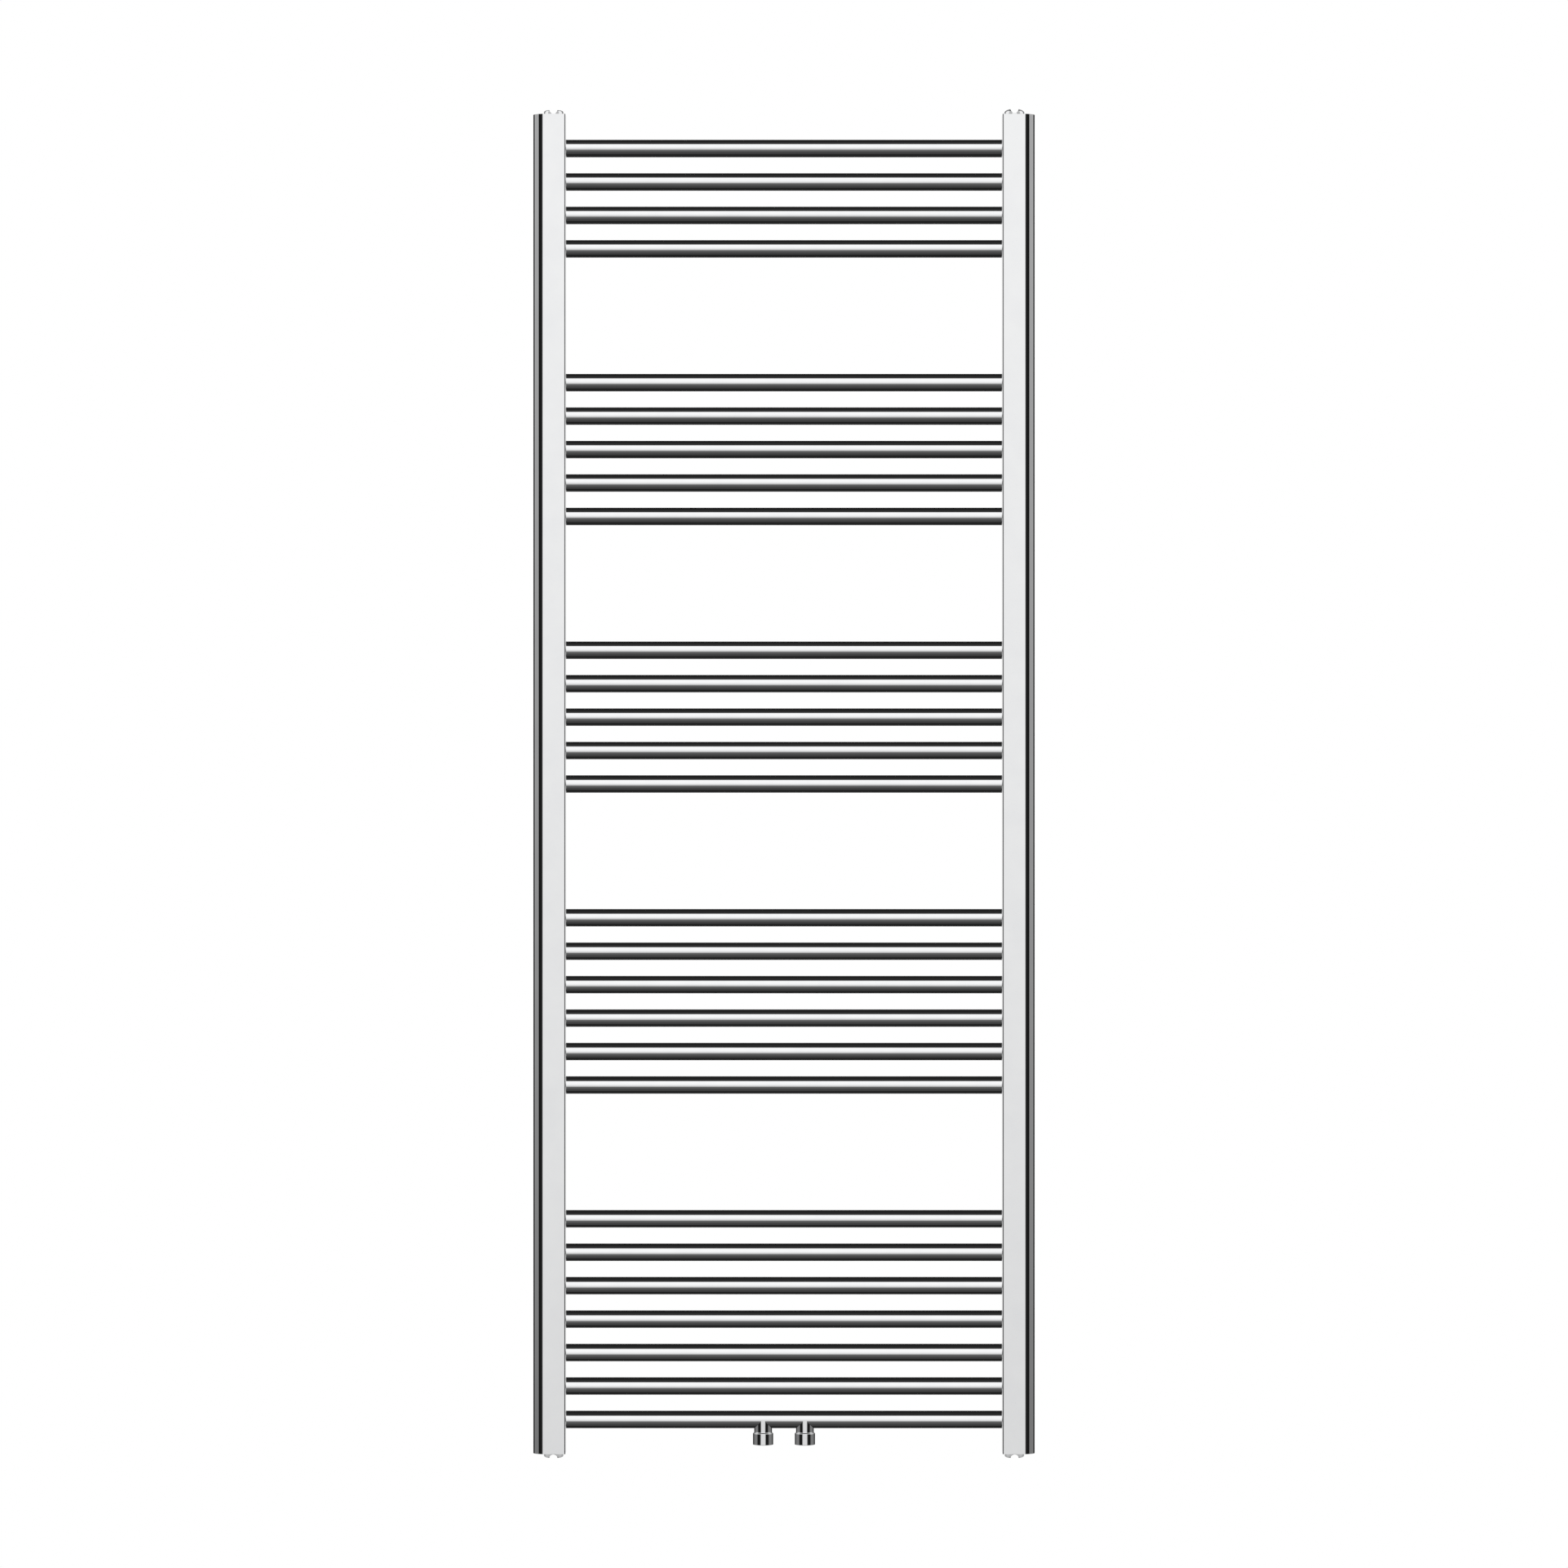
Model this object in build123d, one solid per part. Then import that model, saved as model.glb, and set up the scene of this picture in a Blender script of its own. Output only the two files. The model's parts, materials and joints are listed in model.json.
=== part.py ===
from build123d import *
import math
import os

os.makedirs("parts", exist_ok=True)

# A chrome ladder radiator for towels, in millimetres. Its tubes run along x, the wall is
# towards +y, and z = 0 is the outer face of the plugs in the bottom of the collectors.

# Collectors: the two upright D-shaped tubes, with their half-round sides facing outwards
OVERALL_WIDTH = 600.0
COLLECTOR_LENGTH = 1600.0
COLLECTOR_WIDTH = 39.0
COLLECTOR_DEPTH = 30.0
COLLECTOR_WALL = 1.5
COLLECTOR_CORNER = 1.6
INNER_FACE_X = OVERALL_WIDTH / 2 - COLLECTOR_WIDTH

# Cross tubes: pitches below the collector's top end, in groups with a gap for a towel between them
TUBE_RADIUS = 10.5
TUBE_WALL = 1.25
TUBE_PITCH = 40.0
GROUP_SIZES = (4, 5, 5, 6, 7)
PITCHES_SKIPPED_PER_GAP = 3
TUBE_INSERTION = 3.0
WELD_GAP = 0.05

# G 1/2 pipe thread, modelled as plain cylinders
THREAD_MINOR_RADIUS = 18.631 / 2
PLUG_THREAD_RADIUS = 10.45
TAPPED_RADIUS = 10.5

# Blanking plugs, in the ends of the collectors
PLUG_FROM_INNER_FACE = 14.5
PLUG_X = INNER_FACE_X + PLUG_FROM_INNER_FACE
PLUG_HEAD_RADIUS = 12.2
PLUG_HEAD_HEIGHT = 5.0
PLUG_HEAD_ROUND = 2.2
PLUG_SHANK_LENGTH = 9.0
THREAD_LEAD_IN = 0.8

# The heads of the plugs and the vent's cap lean in a little, and have a round-bottomed groove across them
HEAD_DRAFT = math.radians(10.0)
GROOVE_RADIUS = 4.8
PLUG_GROOVE_FLOOR = 0.6

# End plates, welded into the ends of the collectors, each with a tapped boss
END_PLATE_THICKNESS = 3.0
BOSS_RADIUS = 12.9
BOSS_DEPTH = 14.0

# O-rings, each in a step around the mouth of a boss
RING_SECTION = 1.15
RING_SEAT_RADIUS = 11.7
RING_SEAT_DEPTH = 1.2

# Connection sockets, welded under the lowest tube
SOCKET_SPACING = 50.0
SOCKET_RADIUS = 12.3
SOCKET_NECK_RADIUS = 10.8
SOCKET_DROP = 30.0
SHOULDER_DROP = 16.2
SHOULDER_SLOPE = 60.0
SHOULDER_ROUND = 1.2
SOCKET_THREAD_DEPTH = 15.0
SOCKET_MOUTH_CHAMFER = 0.75
SOCKET_RIM_ROUND = 0.5
WATERWAY_RADIUS = 7.0
DIVIDER_THICKNESS = 3.0

# Air vent: a threaded body with a hub, a domed cap that swivels on the hub, and a bleed screw
VENT_RADIUS = 12.3
VENT_FLANGE_HEIGHT = 0.8
VENT_SHANK_LENGTH = 9.0
CAP_SEAM = 0.1
CAP_RIM_HEIGHT = 3.0
CAP_RISE = 4.6
CAP_GROOVE_FLOOR = 1.7
CAP_POCKET_RADIUS = 5.3
HUB_RADIUS = 4.5
HUB_LIP_RADIUS = 5.0
HUB_LIP_HEIGHT = 0.4
HUB_HEIGHT = 2.2
RUNNING_GAP = 0.05
SCREW_RADIUS = 2.45
SCREW_HEAD_RADIUS = 3.2
SCREW_HEAD_HEIGHT = 1.0
SCREW_HEAD_LOW = HUB_HEIGHT - SCREW_HEAD_HEIGHT
SCREW_HEAD_SEAM = 0.1
SLOT_WIDTH = 1.2
SLOT_DEPTH = 0.6
PINTLE_RADIUS = 1.0
PINTLE_LENGTH = 1.4
SEAL_RADIUS = 2.4
SEAL_TIP_RADIUS = 0.8
SEAL_CYLINDER_HEIGHT = 1.1
SEAL_CONE_HEIGHT = 1.4
SEAT_DEPTH = 6.35
SEAT_HOLE_RADIUS = 1.0
AIR_CHAMBER_RADIUS = 3.5
AIR_CHAMBER_TOP = -3.0

# The vent's air way: a duct up to a ring channel, then a riser and an outlet drilled in the cap
AIR_DUCT_RADIUS = 0.6
CHANNEL_RADIUS = 8.0
CHANNEL_WIDTH = 1.6
CHANNEL_DEPTH = 0.4
OUTLET_RADIUS = 0.6
OUTLET_HEIGHT = 2.2
OUTLET_ANGLE = 40.0

# How far a cutting tool runs past the faces it opens
OVERCUT = 1.0

# Alignment of a solid that stands on the origin
STANDING = (Align.CENTER, Align.CENTER, Align.MIN)

# Heights that follow from the sizes above
COLLECTOR_BOTTOM = PLUG_HEAD_HEIGHT
COLLECTOR_TOP = COLLECTOR_BOTTOM + COLLECTOR_LENGTH


def tube_heights():
    """Axis heights of the cross tubes, from the top one down."""
    heights = []
    height = COLLECTOR_TOP - TUBE_PITCH
    for size in GROUP_SIZES:
        for _ in range(size):
            heights.append(height)
            height -= TUBE_PITCH
        height -= PITCHES_SKIPPED_PER_GAP * TUBE_PITCH
    return heights


TUBE_HEIGHTS = tube_heights()
LOWEST_TUBE = TUBE_HEIGHTS[-1]


def upright(radius, low, high, x=0.0):
    """A cylinder along z from low to high."""
    bar = Cylinder(radius, high - low, align=STANDING)
    return Pos(x, 0, low) * bar


def taper(low_radius, high_radius, low, high):
    """A cone along z from low to high."""
    body = Cone(low_radius, high_radius, high - low, align=STANDING)
    return Pos(0, 0, low) * body


def crossways(radius, start, end, height):
    """A cylinder along x from start to end."""
    bar = Cylinder(radius, end - start, align=STANDING)
    return Pos(start, 0, height) * Rot(0, 90, 0) * bar


def save(name, body):
    export_step(body, f"parts/{name}.step")


def d_section(inset, corner):
    """The right-hand collector's section, with every side moved inwards by inset."""
    arc_x = OVERALL_WIDTH / 2 - COLLECTOR_DEPTH / 2
    half_depth = COLLECTOR_DEPTH / 2 - inset
    flat_start = INNER_FACE_X + inset
    flat = Rectangle(arc_x - flat_start, 2 * half_depth, align=(Align.MIN, Align.CENTER))
    flat = fillet((Pos(flat_start, 0) * flat).vertices().sort_by(Axis.X)[:2], corner)
    return flat + Pos(arc_x, 0) * Circle(half_depth)


def collector():
    """The right-hand collector, with a hole in its flat side for each cross tube."""
    outside = extrude(d_section(0, COLLECTOR_CORNER), COLLECTOR_LENGTH)
    inside = extrude(d_section(COLLECTOR_WALL, COLLECTOR_CORNER / 4), COLLECTOR_LENGTH)
    start = INNER_FACE_X - OVERCUT
    end = INNER_FACE_X + COLLECTOR_WALL + OVERCUT
    holes = [crossways(TUBE_RADIUS + WELD_GAP, start, end, height) for height in TUBE_HEIGHTS]
    return Pos(0, 0, COLLECTOR_BOTTOM) * (outside - inside) - holes


def cross_tube(height):
    reach = INNER_FACE_X + TUBE_INSERTION
    outside = crossways(TUBE_RADIUS, -reach, reach, height)
    inside = crossways(TUBE_RADIUS - TUBE_WALL, -reach - OVERCUT, reach + OVERCUT, height)
    return outside - inside


def lowest_tube():
    """The lowest cross tube, which also opens into the two connection sockets."""
    low = LOWEST_TUBE - TUBE_RADIUS - OVERCUT
    ways = [upright(WATERWAY_RADIUS, low, LOWEST_TUBE, x) for x in socket_positions()]
    return cross_tube(LOWEST_TUBE) - ways


def socket_positions():
    return (-SOCKET_SPACING / 2, SOCKET_SPACING / 2)


def connection_socket(x):
    """A threaded sleeve whose neck is cut to fit round the underside of the lowest tube."""
    mouth = LOWEST_TUBE - SOCKET_DROP
    shoulder = LOWEST_TUBE - SHOULDER_DROP
    step = SOCKET_RADIUS - SOCKET_NECK_RADIUS
    neck = shoulder + step / math.tan(math.radians(SHOULDER_SLOPE))
    body = upright(SOCKET_RADIUS, mouth, shoulder)
    body += taper(SOCKET_RADIUS, SOCKET_NECK_RADIUS, shoulder, neck)
    body += upright(SOCKET_NECK_RADIUS, neck, LOWEST_TUBE)
    shoulder_edges = body.edges().filter_by(GeomType.CIRCLE).sort_by(Axis.Z)[1:3]
    body = fillet(shoulder_edges, SHOULDER_ROUND)
    body = fillet(body.edges().sort_by(Axis.Z)[0], SOCKET_RIM_ROUND)
    thread_end = mouth + SOCKET_THREAD_DEPTH
    body -= upright(THREAD_MINOR_RADIUS, mouth - OVERCUT, thread_end)
    wide = THREAD_MINOR_RADIUS + SOCKET_MOUTH_CHAMFER
    body -= taper(wide, THREAD_MINOR_RADIUS, mouth, mouth + SOCKET_MOUTH_CHAMFER)
    body -= upright(WATERWAY_RADIUS, thread_end - OVERCUT, LOWEST_TUBE + OVERCUT)
    reach = SOCKET_NECK_RADIUS + OVERCUT
    body -= crossways(TUBE_RADIUS + WELD_GAP, -reach, reach, LOWEST_TUBE)
    return Pos(x, 0, 0) * body


def flow_divider():
    """The disc that keeps the flow and return apart inside the lowest tube."""
    radius = TUBE_RADIUS - TUBE_WALL - WELD_GAP
    return crossways(radius, -DIVIDER_THICKNESS / 2, DIVIDER_THICKNESS / 2, LOWEST_TUBE)


# The pieces below are drawn in the frame of a collector's end: z = 0 is its end face, z points
# out of it, and the tapped boss is on the z axis. in_end() carries them to their places.


def in_end(body, side, end):
    """Carries a piece to an end: side is -1 or 1 for left or right, end is -1 or 1 for bottom or top."""
    height = COLLECTOR_TOP if end > 0 else COLLECTOR_BOTTOM
    turn = Rot(0, 0, 0) if end > 0 else Rot(180, 0, 0)
    return Pos(side * PLUG_X, 0, height) * turn * body


def end_plate(side):
    gap = COLLECTOR_WALL + WELD_GAP
    section = Pos(-PLUG_X, 0) * d_section(gap, COLLECTOR_CORNER / 4)
    plate = Pos(0, 0, -END_PLATE_THICKNESS) * extrude(section, END_PLATE_THICKNESS)
    plate += upright(BOSS_RADIUS, -BOSS_DEPTH, 0)
    plate -= upright(TAPPED_RADIUS, -BOSS_DEPTH - OVERCUT, OVERCUT)
    plate -= upright(RING_SEAT_RADIUS, -RING_SEAT_DEPTH, OVERCUT)
    return plate if side > 0 else mirror(plate, about=Plane.YZ)


def threaded_shank(length):
    shank = upright(PLUG_THREAD_RADIUS, -length, 0)
    return chamfer(shank.edges().sort_by(Axis.Z)[0], THREAD_LEAD_IN)


def groove(floor, top):
    """The round-bottomed groove along y that is cut in a head, from its floor to above the head's top."""
    length = 2 * VENT_RADIUS + 2 * OVERCUT
    middle = floor + GROOVE_RADIUS
    bar = Pos(0, 0, middle) * Rot(90, 0, 0) * Cylinder(GROOVE_RADIUS, length)
    height = top + OVERCUT - middle
    walls = Box(2 * GROOVE_RADIUS, length, height, align=STANDING)
    return bar + Pos(0, 0, middle) * walls


def plug():
    top_radius = PLUG_HEAD_RADIUS - PLUG_HEAD_HEIGHT * math.tan(HEAD_DRAFT)
    head = taper(PLUG_HEAD_RADIUS, top_radius, 0, PLUG_HEAD_HEIGHT)
    head = fillet(head.edges().sort_by(Axis.Z)[-1], PLUG_HEAD_ROUND)
    whole = head + threaded_shank(PLUG_SHANK_LENGTH)
    return whole - groove(PLUG_GROOVE_FLOOR, PLUG_HEAD_HEIGHT)


def o_ring():
    middle = (PLUG_THREAD_RADIUS + RING_SEAT_RADIUS) / 2
    return Pos(0, 0, -RING_SEAT_DEPTH / 2) * Torus(middle, RING_SECTION / 2)


def vent_body():
    """The vent's threaded body, with a hub for the cap and a ducted bore for the bleed screw."""
    body = upright(VENT_RADIUS, 0, VENT_FLANGE_HEIGHT) + threaded_shank(VENT_SHANK_LENGTH)
    body += upright(HUB_RADIUS, 0, HUB_HEIGHT)
    body += upright(HUB_LIP_RADIUS, HUB_HEIGHT - HUB_LIP_HEIGHT, HUB_HEIGHT)
    body -= upright(SCREW_RADIUS + RUNNING_GAP, AIR_CHAMBER_TOP - OVERCUT, HUB_HEIGHT + OVERCUT)
    pocket_floor = SCREW_HEAD_LOW - SCREW_HEAD_SEAM
    body -= upright(SCREW_HEAD_RADIUS + SCREW_HEAD_SEAM, pocket_floor, HUB_HEIGHT + OVERCUT)
    body -= upright(AIR_CHAMBER_RADIUS, -SEAT_DEPTH, AIR_CHAMBER_TOP)
    body -= taper(SEAT_HOLE_RADIUS, SEAL_RADIUS + RUNNING_GAP, -SEAT_DEPTH - SEAL_CONE_HEIGHT, -SEAT_DEPTH)
    body -= upright(SEAT_HOLE_RADIUS, -VENT_SHANK_LENGTH - OVERCUT, -SEAT_DEPTH)
    return body - ring_channel() - air_duct()


def ring_channel():
    """The channel in the flange that carries air round to the cap's riser, wherever the cap is turned."""
    low = VENT_FLANGE_HEIGHT - CHANNEL_DEPTH
    high = VENT_FLANGE_HEIGHT + OVERCUT
    outer = upright(CHANNEL_RADIUS + CHANNEL_WIDTH / 2, low, high)
    inner = upright(CHANNEL_RADIUS - CHANNEL_WIDTH / 2, low, high)
    return outer - inner


def air_duct():
    """The slanting hole from the air chamber up to the ring channel."""
    foot = Vector(AIR_CHAMBER_RADIUS - OVERCUT, 0, AIR_CHAMBER_TOP - OVERCUT)
    mouth = Vector(CHANNEL_RADIUS, 0, VENT_FLANGE_HEIGHT)
    run = mouth - foot
    bar = Cylinder(AIR_DUCT_RADIUS, run.length, align=STANDING)
    lean = math.degrees(math.atan2(run.X, run.Z))
    return Pos(foot.X, 0, foot.Z) * Rot(0, lean, 0) * bar


def domed_head(radius, rim_height, rise, base):
    """A round head from z = base up: a leaning rim, and a dome that starts at the rim's own slope."""
    rim_radius = radius - (rim_height - base) * math.tan(HEAD_DRAFT)
    start = math.atan(rise / rim_radius * math.tan(HEAD_DRAFT))
    middle = rim_height - rise * math.sin(start)
    lean = math.degrees(start)
    side = EllipticalCenterArc((0, middle), rim_radius / math.cos(start), rise, lean, arc_size=90 - lean)
    rim = Polyline((0, base), (radius, base), side @ 0)
    axis = Line(side @ 1, (0, base))
    return revolve(Plane.XZ * make_face([rim, side, axis]), Axis.Z)


def vent_cap():
    """The domed cap, which turns on the hub to aim its outlet."""
    base = VENT_FLANGE_HEIGHT + CAP_SEAM
    top = CAP_RIM_HEIGHT + CAP_RISE
    cap = domed_head(VENT_RADIUS, CAP_RIM_HEIGHT, CAP_RISE, base)
    cap -= groove(CAP_GROOVE_FLOOR, top)
    cap -= upright(HUB_RADIUS + RUNNING_GAP, base - OVERCUT, top)
    cap -= upright(CAP_POCKET_RADIUS, CAP_GROOVE_FLOOR, top)
    riser = Pos(CHANNEL_RADIUS, 0, 0) * upright(OUTLET_RADIUS, base - OVERCUT, OUTLET_HEIGHT)
    outlet = crossways(OUTLET_RADIUS, CHANNEL_RADIUS - OUTLET_RADIUS, VENT_RADIUS + OVERCUT, OUTLET_HEIGHT)
    return cap - Rot(0, 0, OUTLET_ANGLE) * (riser + outlet)


def bleed_screw():
    shank_low = -SEAT_DEPTH + SEAL_CYLINDER_HEIGHT + RUNNING_GAP
    screw = upright(SCREW_RADIUS, shank_low, SCREW_HEAD_LOW)
    screw += upright(SCREW_HEAD_RADIUS, SCREW_HEAD_LOW, HUB_HEIGHT)
    screw += upright(PINTLE_RADIUS, shank_low - PINTLE_LENGTH, shank_low)
    slot = Box(2 * VENT_RADIUS, SLOT_WIDTH, SLOT_DEPTH + OVERCUT, align=STANDING)
    return screw - Pos(0, 0, HUB_HEIGHT - SLOT_DEPTH) * slot


def bleed_seal():
    """The soft tip that the bleed screw presses onto the seat."""
    low = -SEAT_DEPTH + RUNNING_GAP
    high = -SEAT_DEPTH + SEAL_CYLINDER_HEIGHT
    seal = upright(SEAL_RADIUS, low, high)
    seal += taper(SEAL_TIP_RADIUS, SEAL_RADIUS, low - SEAL_CONE_HEIGHT, low)
    return seal - upright(PINTLE_RADIUS + RUNNING_GAP, high - PINTLE_LENGTH, high + OVERCUT)


right_collector = collector()
save("right_collector", right_collector)
save("left_collector", mirror(right_collector, about=Plane.YZ))

for number, height in enumerate(TUBE_HEIGHTS[:-1], start=1):
    save(f"cross_tube_{number:02d}", cross_tube(height))
save(f"cross_tube_{len(TUBE_HEIGHTS):02d}", lowest_tube())
save("flow_divider", flow_divider())

for name, x in zip(("left_connection_socket", "right_connection_socket"), socket_positions()):
    save(name, connection_socket(x))

ENDS = {
    "top_left": (-1, 1),
    "top_right": (1, 1),
    "bottom_left": (-1, -1),
    "bottom_right": (1, -1),
}
VENTED_END = "top_right"
for name, (side, end) in ENDS.items():
    save(f"{name}_end_plate", in_end(end_plate(side), side, end))
    if name != VENTED_END:
        save(f"{name}_plug", in_end(plug(), side, end))
        save(f"{name}_plug_o_ring", in_end(o_ring(), side, end))

save("vent_o_ring", in_end(o_ring(), *ENDS[VENTED_END]))
save("vent_body", in_end(vent_body(), *ENDS[VENTED_END]))
save("vent_cap", in_end(vent_cap(), *ENDS[VENTED_END]))
save("bleed_screw", in_end(bleed_screw(), *ENDS[VENTED_END]))
save("bleed_seal", in_end(bleed_seal(), *ENDS[VENTED_END]))
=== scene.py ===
import json
import math

import bmesh
import bpy
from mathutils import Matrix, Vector


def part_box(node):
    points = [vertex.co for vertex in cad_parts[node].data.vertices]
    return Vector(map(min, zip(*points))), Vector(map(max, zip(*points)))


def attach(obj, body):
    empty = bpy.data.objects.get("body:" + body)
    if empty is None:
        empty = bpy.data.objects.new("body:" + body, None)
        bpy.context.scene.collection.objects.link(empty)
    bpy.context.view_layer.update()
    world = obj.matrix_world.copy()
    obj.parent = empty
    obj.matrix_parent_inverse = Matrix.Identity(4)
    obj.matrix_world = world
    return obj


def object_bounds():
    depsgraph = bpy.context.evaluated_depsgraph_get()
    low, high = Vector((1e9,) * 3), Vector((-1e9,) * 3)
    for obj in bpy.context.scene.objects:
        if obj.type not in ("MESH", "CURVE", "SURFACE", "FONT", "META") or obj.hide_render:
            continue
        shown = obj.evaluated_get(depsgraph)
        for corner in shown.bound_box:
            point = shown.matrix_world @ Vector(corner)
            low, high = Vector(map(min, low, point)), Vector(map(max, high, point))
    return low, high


# The look of a chrome ladder towel radiator, and the studio it is pictured in.

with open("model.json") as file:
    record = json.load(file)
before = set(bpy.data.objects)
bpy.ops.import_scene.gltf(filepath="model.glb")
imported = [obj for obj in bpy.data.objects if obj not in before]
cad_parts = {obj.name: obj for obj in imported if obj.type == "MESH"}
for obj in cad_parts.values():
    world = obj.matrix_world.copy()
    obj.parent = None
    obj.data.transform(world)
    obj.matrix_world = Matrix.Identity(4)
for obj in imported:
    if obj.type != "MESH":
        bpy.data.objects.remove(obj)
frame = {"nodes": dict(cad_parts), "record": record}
cad_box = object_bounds()
nodes = frame["nodes"]
scene = bpy.context.scene


# ---------------------------------------------------------------- shader building

def new_node(tree, kind, **settings):
    node = tree.nodes.new(kind)
    for name, value in settings.items():
        setattr(node, name, value)
    return node


def feed(tree, socket, value):
    """Links a socket to an output, or sets it to a plain value."""
    if isinstance(value, bpy.types.NodeSocket):
        tree.links.new(value, socket)
    else:
        socket.default_value = value


def maths(tree, operation, first, second=0.0):
    node = new_node(tree, "ShaderNodeMath", operation=operation)
    feed(tree, node.inputs[0], first)
    feed(tree, node.inputs[1], second)
    return node.outputs[0]


def rescaled(tree, value, start, end, low, high, smooth=False):
    """A value carried from the range start..end to low..high, and held at its ends."""
    node = new_node(tree, "ShaderNodeMapRange", clamp=True)
    if smooth:
        node.interpolation_type = "SMOOTHSTEP"
    feed(tree, node.inputs["Value"], value)
    limits = {"From Min": start, "From Max": end, "To Min": low, "To Max": high}
    for name, limit in limits.items():
        node.inputs[name].default_value = limit
    return node.outputs["Result"]


def noise(tree, vector, scale, detail=2.0):
    node = new_node(tree, "ShaderNodeTexNoise")
    feed(tree, node.inputs["Vector"], vector)
    node.inputs["Scale"].default_value = scale
    node.inputs["Detail"].default_value = detail
    return node.outputs["Fac"]


# ---------------------------------------------------------------- materials

# Scales of the textures, in cycles per metre or so, and depths in metres. The spread is one of roughness.
MARK_SCALE = 900.0
MARK_DEPTH = 0.000002
CLOUD_SCALE = 35.0
PEEL_SCALE = 220.0
PEEL_DEPTH = 0.000002
MOULDED_DEPTH = 0.00002
MOULDED_SPREAD = 0.08


def metal(name, bright, dull, roughness, grain, waviness=0.0):
    """Plated metal, with polishing marks stretched by grain.

    Its colour drifts between bright and dull, and its roughness over a range. waviness is the depth of a
    faint orange peel in the plating.
    """
    material = bpy.data.materials.new(name)
    material.use_nodes = True
    tree = material.node_tree
    shader = tree.nodes["Principled BSDF"]
    shader.inputs["Metallic"].default_value = 1.0
    place = new_node(tree, "ShaderNodeTexCoord").outputs["Object"]
    stretch = new_node(tree, "ShaderNodeMapping")
    feed(tree, stretch.inputs["Vector"], place)
    stretch.inputs["Scale"].default_value = grain
    marks = noise(tree, stretch.outputs["Vector"], MARK_SCALE, 3.0)
    clouds = noise(tree, place, CLOUD_SCALE, 3.0)
    mix = new_node(tree, "ShaderNodeMix", data_type="RGBA")
    feed(tree, mix.inputs["Factor"], rescaled(tree, clouds, 0.35, 0.7, 0.0, 1.0))
    feed(tree, mix.inputs["A"], (*bright, 1.0))
    feed(tree, mix.inputs["B"], (*dull, 1.0))
    feed(tree, shader.inputs["Base Color"], mix.outputs["Result"])
    low, high = roughness
    spread = maths(tree, "MULTIPLY", marks, rescaled(tree, clouds, 0.3, 0.7, 0.6, 1.4))
    feed(tree, shader.inputs["Roughness"], rescaled(tree, spread, 0.2, 0.9, low, high))
    bump = new_node(tree, "ShaderNodeBump")
    bump.inputs["Strength"].default_value = 0.25
    bump.inputs["Distance"].default_value = MARK_DEPTH
    feed(tree, bump.inputs["Height"], marks)
    if waviness:
        peel = new_node(tree, "ShaderNodeBump")
        peel.inputs["Strength"].default_value = 1.0
        peel.inputs["Distance"].default_value = waviness
        feed(tree, peel.inputs["Height"], noise(tree, place, PEEL_SCALE, 1.0))
        feed(tree, bump.inputs["Normal"], peel.outputs["Normal"])
    feed(tree, shader.inputs["Normal"], bump.outputs["Normal"])
    return material


def moulded(name, colour, lighter, roughness, scale):
    """Rubber or plastic with a fine moulded grain."""
    material = bpy.data.materials.new(name)
    material.use_nodes = True
    tree = material.node_tree
    shader = tree.nodes["Principled BSDF"]
    place = new_node(tree, "ShaderNodeTexCoord").outputs["Object"]
    grain = noise(tree, place, scale, 4.0)
    mix = new_node(tree, "ShaderNodeMix", data_type="RGBA")
    feed(tree, mix.inputs["Factor"], rescaled(tree, grain, 0.3, 0.7, 0.0, 1.0))
    feed(tree, mix.inputs["A"], (*colour, 1.0))
    feed(tree, mix.inputs["B"], (*lighter, 1.0))
    feed(tree, shader.inputs["Base Color"], mix.outputs["Result"])
    low = roughness - MOULDED_SPREAD
    high = roughness + MOULDED_SPREAD
    feed(tree, shader.inputs["Roughness"], rescaled(tree, grain, 0.3, 0.7, low, high))
    bump = new_node(tree, "ShaderNodeBump")
    bump.inputs["Strength"].default_value = 0.4
    bump.inputs["Distance"].default_value = MOULDED_DEPTH
    feed(tree, bump.inputs["Height"], grain)
    feed(tree, shader.inputs["Normal"], bump.outputs["Normal"])
    return material


# Which way the polishing marks run, as the stretch of their texture on each axis
ALONG_COLLECTOR = (6.0, 6.0, 0.3)
ALONG_TUBE = (0.3, 6.0, 6.0)
ROUND_A_HEAD = (1.0, 1.0, 8.0)
TURNED = (3.0, 3.0, 8.0)
EVEN = (2.0, 2.0, 2.0)


def chrome(name, grain, roughness=(0.015, 0.05), waviness=0.0):
    return metal(name, (0.90, 0.905, 0.91), (0.875, 0.88, 0.89), roughness, grain, waviness)


def brass(name):
    return metal(name, (0.82, 0.79, 0.72), (0.72, 0.66, 0.55), (0.12, 0.25), TURNED)


def bare_steel(name):
    return metal(name, (0.5, 0.49, 0.48), (0.38, 0.36, 0.34), (0.3, 0.5), (3.0, 3.0, 3.0))


def rubber(name):
    return moulded(name, (0.012, 0.012, 0.012), (0.03, 0.03, 0.03), 0.55, 1500.0)


def white_plastic(name):
    return moulded(name, (0.75, 0.75, 0.72), (0.85, 0.85, 0.83), 0.45, 1200.0)


finishes = {
    "collector_chrome": chrome("collector_chrome", ALONG_COLLECTOR, waviness=PEEL_DEPTH),
    "tube_chrome": chrome("tube_chrome", ALONG_TUBE, waviness=PEEL_DEPTH),
    "socket_chrome": chrome("socket_chrome", ROUND_A_HEAD),
    "plug_chrome": chrome("plug_chrome", ROUND_A_HEAD),
    "end_plate_chrome": chrome("end_plate_chrome", EVEN, roughness=(0.05, 0.14)),
    "vent_body_chrome": chrome("vent_body_chrome", ROUND_A_HEAD),
    "vent_cap_chrome": chrome("vent_cap_chrome", ROUND_A_HEAD),
    "divider_steel": bare_steel("divider_steel"),
    "screw_brass": brass("screw_brass"),
    "ring_rubber": rubber("ring_rubber"),
    "seal_plastic": white_plastic("seal_plastic"),
}

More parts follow.
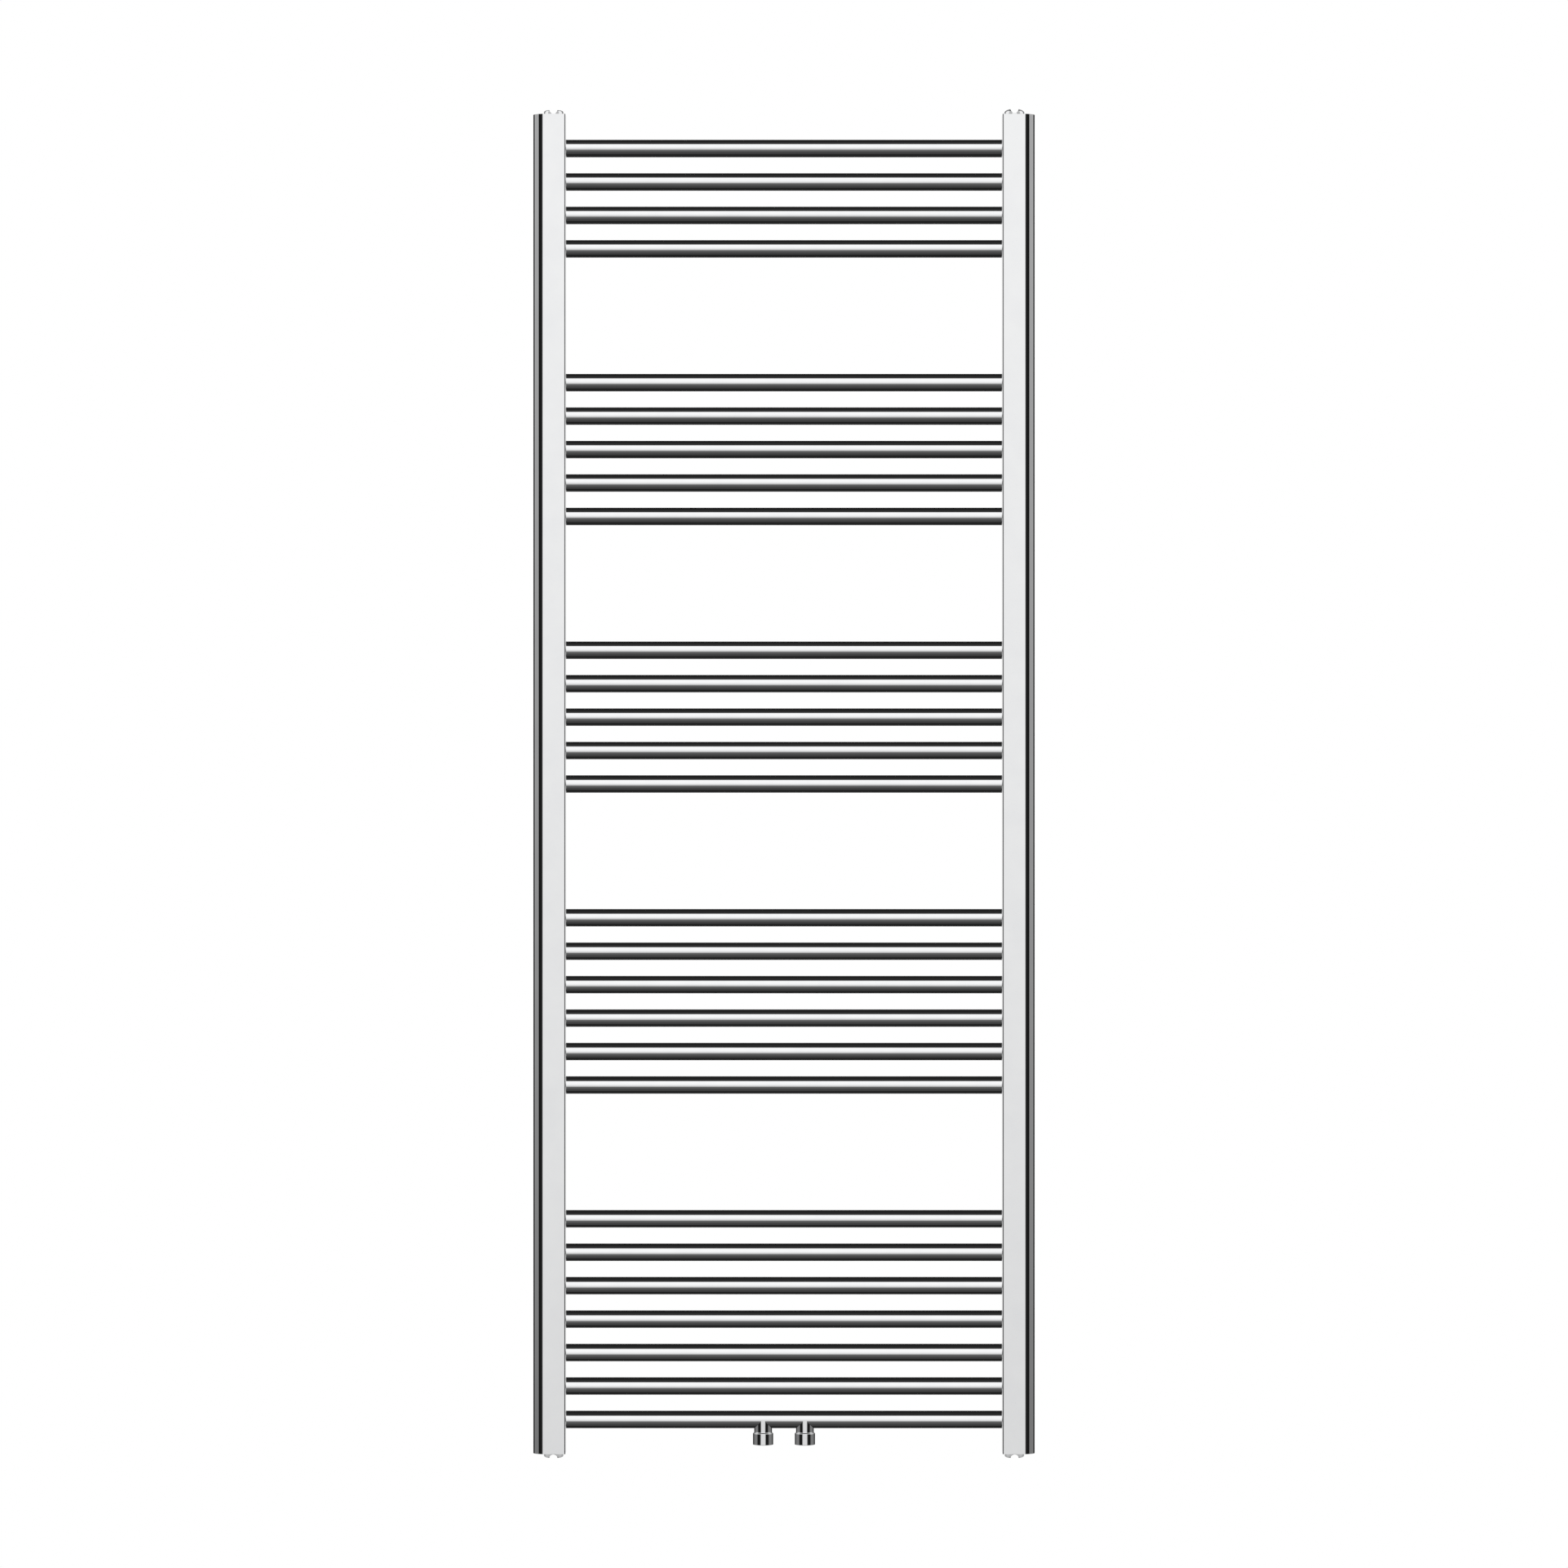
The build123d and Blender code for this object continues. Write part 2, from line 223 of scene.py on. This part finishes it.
slots = {row["node"]: row["material_slot"] for row in frame["record"]["subparts"]}
for name, node in nodes.items():
    node.data.materials.clear()
    node.data.materials.append(finishes[slots[name]])


# ---------------------------------------------------------------- welds

RADIATOR = "radiator"
WELD_SIZE = 0.0011
WELD_OVERLAP = 0.00003
FILLET_STEPS = 8
RING_STEPS = 64
SHARP_ANGLE = math.radians(35.0)


def ring_piece(name, rings, slot):
    """A piece made of closed rings. A ring is a list of sections, and a section a closed loop of points."""
    vertices = []
    faces = []
    for sections in rings:
        start = len(vertices)
        around = len(sections[0])
        for turn, section in enumerate(sections):
            vertices.extend(section)
            here = start + turn * around
            there = start + (turn + 1) % len(sections) * around
            for step in range(around):
                ahead = (step + 1) % around
                faces.append((here + step, here + ahead, there + ahead, there + step))
    mesh = bpy.data.meshes.new(name)
    mesh.from_pydata(vertices, [], faces)
    solid = bmesh.new()
    solid.from_mesh(mesh)
    bmesh.ops.recalc_face_normals(solid, faces=solid.faces)
    for edge in solid.edges:
        edge.smooth = edge.calc_face_angle() < SHARP_ANGLE
    for face in solid.faces:
        face.smooth = True
    solid.to_mesh(mesh)
    solid.free()
    mesh.materials.append(finishes[slot])
    piece = bpy.data.objects.new(name, mesh)
    scene.collection.objects.link(piece)
    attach(piece, RADIATOR)
    return piece


def fillet_section(corner, first, second):
    """The section of a fillet weld: a hollow curve from first to second, and the corner it fills."""
    points = []
    for step in range(FILLET_STEPS + 1):
        t = step / FILLET_STEPS
        points.append(first * (1 - t) ** 2 + corner * 2 * t * (1 - t) + second * t ** 2)
    inward = corner * 2 - (first + second) / 2
    points.append(corner + (inward - corner).normalized() * WELD_OVERLAP)
    return points


def tube_weld(axis_height, radius, face_x, side):
    """The ring of weld where a tube meets a collector's flat face."""
    sections = []
    for step in range(RING_STEPS):
        turn = math.tau * step / RING_STEPS
        outward = Vector((0.0, math.cos(turn), math.sin(turn)))
        corner = Vector((side * face_x, 0.0, axis_height)) + outward * radius
        along = Vector((-side * WELD_SIZE, 0.0, 0.0))
        sections.append(fillet_section(corner, corner + along, corner + outward * WELD_SIZE))
    return sections


tubes = sorted(name for name in nodes if name.startswith("cross_tube"))
face_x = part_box("right_collector")[0].x
tube_heights = [sum(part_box(name), Vector()).z / 2 for name in tubes]
tube_low, tube_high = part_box(tubes[0])
tube_radius = (tube_high.z - tube_low.z) / 2
tube_welds = []
for label, side in (("left", -1), ("right", 1)):
    welds = [tube_weld(height, tube_radius, face_x, side) for height in tube_heights]
    tube_welds.append(ring_piece(f"{label}_tube_welds", welds, "tube_chrome"))


# ---------------------------------------------------------------- studio

def between(tree, value, low, high, soft):
    """1 where low < value < high, with edges of the width soft."""
    rise = rescaled(tree, value, low - soft / 2, low + soft / 2, 0.0, 1.0, smooth=True)
    fall = rescaled(tree, value, high - soft / 2, high + soft / 2, 1.0, 0.0, smooth=True)
    return maths(tree, "MULTIPLY", rise, fall)


def blended(tree, share, first, second):
    """first where share is 0, second where it is 1."""
    rest = maths(tree, "MULTIPLY", first, maths(tree, "SUBTRACT", 1.0, share))
    return maths(tree, "ADD", rest, maths(tree, "MULTIPLY", second, share))


def by_height(tree, elevation, stops):
    """Brightness that follows elevation through stops of (degrees, brightness)."""
    ramp = new_node(tree, "ShaderNodeValToRGB")
    feed(tree, ramp.inputs["Fac"], rescaled(tree, elevation, -90.0, 90.0, 0.0, 1.0))
    elements = ramp.color_ramp.elements
    while len(elements) < len(stops):
        elements.new(0.5)
    for element, (degrees, brightness) in zip(elements, stops):
        element.position = (degrees + 90.0) / 180.0
        element.color = (brightness, brightness, brightness, 1.0)
    return ramp.outputs["Color"]


# What the chrome sees, as stops of (elevation in degrees, brightness), in bands of azimuth from the front
FRONT_PANEL = [
    (-90, 0.045), (-60, 0.06), (-26, 0.14), (-19, 0.42), (-13, 0.66), (-6.5, 0.77), (0, 0.89), (6.5, 0.97),
    (20, 1.04), (48, 1.06), (59, 0.03), (90, 0.03),
]
FRONT_GAP = [
    (-90, 0.03), (-57, 0.03), (-47, 0.4), (-20, 0.5), (-13, 0.012), (12, 0.012), (18, 0.5), (50, 0.6),
    (62, 0.03),
]
SIDE_PANEL = [
    (-90, 0.03), (-57, 0.03), (-47, 0.45), (-20, 0.55), (-12, 0.15), (-6.5, 0.2), (0, 0.33), (6.5, 0.42),
    (14, 0.8), (20, 0.95), (50, 0.95), (59, 0.05),
]
BACK_GAP = [
    (-90, 0.03), (-57, 0.03), (-47, 0.35), (-20, 0.45), (-13, 0.35), (-8.5, 0.012), (8.5, 0.012), (13, 0.15),
    (50, 0.25), (62, 0.1),
]
BACK_PANEL = [
    (-90, 0.05), (-45, 0.35), (-20, 0.45), (-10, 0.8), (11, 0.8), (17, 0.15), (50, 0.25), (62, 0.15),
]

# Where each band starts, and how softly, in degrees of azimuth
LATER_BANDS = [
    (26.0, 14.0, FRONT_GAP),
    (67.0, 8.0, SIDE_PANEL),
    (121.0, 8.0, BACK_GAP),
    (158.0, 6.0, BACK_PANEL),
]

# The dark strip behind the radiator. Its half width and its edge are measured on a unit sphere, its start and
# its fade in degrees of elevation, and its darkness is the share of the light that it takes away.
STRIP_HALF_WIDTH = 0.075
STRIP_EDGE = 0.02
STRIP_START = 11.5
STRIP_FADE = 2.0
STRIP_DARKNESS = 0.9


def studio_world():
    """A white studio to the camera, and bands of light and dark to the chrome.

    Reflections see a tall soft panel in front, grey ones at the sides and a low one behind, with dark gaps
    between them. Behind the radiator, a narrow dark strip runs from overhead and from underfoot nearly to the
    horizon.
    """
    world = bpy.data.worlds.new("studio")
    scene.world = world
    world.use_nodes = True
    tree = world.node_tree
    tree.nodes.clear()
    direction = new_node(tree, "ShaderNodeTexCoord").outputs["Generated"]
    parts = new_node(tree, "ShaderNodeSeparateXYZ")
    feed(tree, parts.inputs[0], direction)
    x, y, z = parts.outputs
    elevation = maths(tree, "DEGREES", maths(tree, "ARCSINE", z))
    turn = maths(tree, "ARCTAN2", x, maths(tree, "MULTIPLY", y, -1.0))
    azimuth = maths(tree, "ABSOLUTE", maths(tree, "DEGREES", turn))

    total = by_height(tree, elevation, FRONT_PANEL)
    for start, soft, stops in LATER_BANDS:
        past_start = rescaled(tree, azimuth, start - soft / 2, start + soft / 2, 0.0, 1.0, smooth=True)
        total = blended(tree, past_start, total, by_height(tree, elevation, stops))

    behind = rescaled(tree, y, -STRIP_EDGE, STRIP_EDGE, 0.0, 1.0)
    narrow = between(tree, x, -STRIP_HALF_WIDTH, STRIP_HALF_WIDTH, STRIP_HALF_WIDTH / 2)
    slope = maths(tree, "ABSOLUTE", elevation)
    steep = rescaled(tree, slope, STRIP_START, STRIP_START + STRIP_FADE, 0.0, 1.0)
    strip = maths(tree, "MULTIPLY", maths(tree, "MULTIPLY", behind, narrow), steep)
    let_through = maths(tree, "SUBTRACT", 1.0, maths(tree, "MULTIPLY", strip, STRIP_DARKNESS))
    total = maths(tree, "MULTIPLY", total, let_through)

    seen = new_node(tree, "ShaderNodeBackground")
    seen.inputs["Color"].default_value = (1.0, 1.0, 1.0, 1.0)
    reflected = new_node(tree, "ShaderNodeBackground")
    feed(tree, reflected.inputs["Color"], total)
    chosen = new_node(tree, "ShaderNodeMixShader")
    rays = new_node(tree, "ShaderNodeLightPath")
    feed(tree, chosen.inputs[0], rays.outputs["Is Camera Ray"])
    feed(tree, chosen.inputs[1], reflected.outputs[0])
    feed(tree, chosen.inputs[2], seen.outputs[0])
    output = new_node(tree, "ShaderNodeOutputWorld")
    feed(tree, output.inputs["Surface"], chosen.outputs[0])


FLOOR_DROP = 0.3
FLOOR_RADIUS = 1.2
FLOOR_FADE_START = 0.25
FLOOR_SEGMENTS = 96
FLOOR_SHADES = (0.80, 0.86)
PAPER_SCALE = 60.0
LAMP_HEIGHT = 3.2
LAMP_SIZE = 3.0
LAMP_POWER = 150.0


def studio_floor():
    """A pale round floor under the radiator, which fades into the white studio at its edge."""
    mesh = bpy.data.meshes.new("floor")
    disc = bmesh.new()
    bmesh.ops.create_circle(disc, cap_ends=True, segments=FLOOR_SEGMENTS, radius=FLOOR_RADIUS)
    disc.to_mesh(mesh)
    disc.free()
    floor = bpy.data.objects.new("floor", mesh)
    floor.location.z = cad_box[0].z - FLOOR_DROP
    floor.visible_glossy = False
    scene.collection.objects.link(floor)
    material = bpy.data.materials.new("floor_paper")
    material.use_nodes = True
    tree = material.node_tree
    shader = tree.nodes["Principled BSDF"]
    place = new_node(tree, "ShaderNodeTexCoord").outputs["Object"]
    fibres = noise(tree, place, PAPER_SCALE, 4.0)
    shade = rescaled(tree, fibres, 0.3, 0.7, *FLOOR_SHADES)
    feed(tree, shader.inputs["Base Color"], shade)
    shader.inputs["Roughness"].default_value = 0.9
    distance = new_node(tree, "ShaderNodeVectorMath", operation="LENGTH")
    feed(tree, distance.inputs[0], place)
    fade = rescaled(tree, distance.outputs["Value"], FLOOR_FADE_START, FLOOR_RADIUS, 1.0, 0.0, smooth=True)
    feed(tree, shader.inputs["Alpha"], fade)
    mesh.materials.append(material)


def soft_lamp():
    """One large soft lamp overhead, which lights the floor and the rubber but isn't seen in the chrome."""
    data = bpy.data.lights.new("soft_lamp", "AREA")
    data.shape = "DISK"
    data.size = LAMP_SIZE
    data.energy = LAMP_POWER
    lamp = bpy.data.objects.new("soft_lamp", data)
    lamp.location = (0.0, 0.0, LAMP_HEIGHT)
    lamp.visible_glossy = False
    lamp.visible_camera = False
    scene.collection.objects.link(lamp)


studio_world()
studio_floor()
soft_lamp()
scene.view_settings.view_transform = "Standard"
scene.view_settings.look = "None"

# The chrome mirrors the studio and not itself, so the tubes read as clean dark and white bands.
# Only the vent's head, which is small and folded, does mirror itself.
VENT_HEAD = ("vent_cap", "bleed_screw")
for name, node in nodes.items():
    node.visible_glossy = name in VENT_HEAD
for piece in tube_welds:
    piece.visible_glossy = False

# The camera stands on the radiator's centre line, level with the middle of the collectors.
CAMERA_DISTANCE = 7.0
FRAME_WIDTH_AT_TUBES = 1.8755
SENSOR_WIDTH = 36.0

collector_low, collector_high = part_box("right_collector")
camera = bpy.data.objects.new("camera", bpy.data.cameras.new("camera"))
scene.collection.objects.link(camera)
camera.location = (0.0, -CAMERA_DISTANCE, (collector_low.z + collector_high.z) / 2)
camera.rotation_euler = (math.radians(90.0), 0.0, 0.0)
camera.data.sensor_width = SENSOR_WIDTH
camera.data.lens = SENSOR_WIDTH * CAMERA_DISTANCE / FRAME_WIDTH_AT_TUBES
camera.data.clip_end = 100.0
scene.camera = camera
